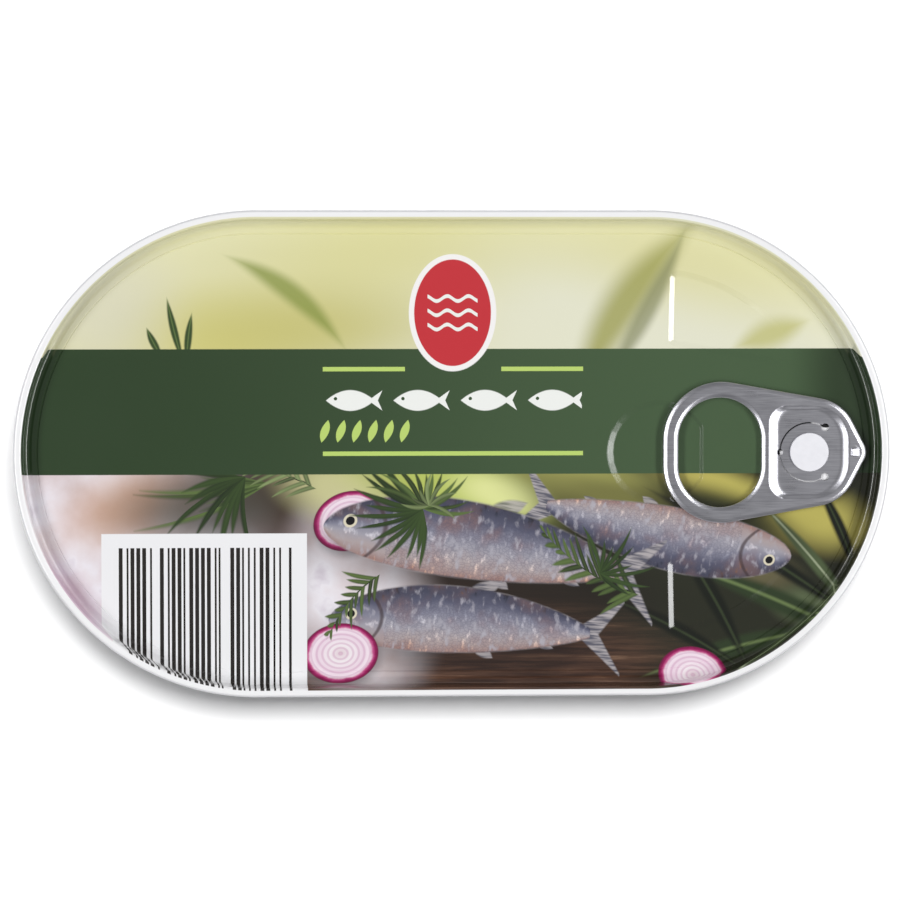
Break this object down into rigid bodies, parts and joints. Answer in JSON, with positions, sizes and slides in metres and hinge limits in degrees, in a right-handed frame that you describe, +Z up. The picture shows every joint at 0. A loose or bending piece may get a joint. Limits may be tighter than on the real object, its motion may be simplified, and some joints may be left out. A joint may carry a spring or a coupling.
{
  "type": "oblong fish tin",
  "caption": "Shut oblong easy-open fish tin with a printed seamed lid, a riveted ring-pull and a tapered drawn tray; it rests on its base and stacks.",
  "frame": {"origin": "middle of the tin's footprint, at the level its foot rim rests on", "axes": "+Z up out of the lid, +X along the tin towards the ring-pull end, +Y across the tin"},
  "size_m": [0.148, 0.082, 0.025],
  "materials": {
    "tray_metal": "clear-lacquered drawn aluminium, satin",
    "lid_print": "gloss-varnished print over a white base coat; white seam",
    "rivet_enamel": "white enamel base coat, gloss",
    "tab_metal": "bare rolled aluminium with a fine grain, bright on the curls"
  },
  "bodies": {
    "root": {"tin_body": "tray_metal", "lid": "lid_print", "rivet": "rivet_enamel", "pull_tab": "tab_metal"}
  },
  "joints": []
}
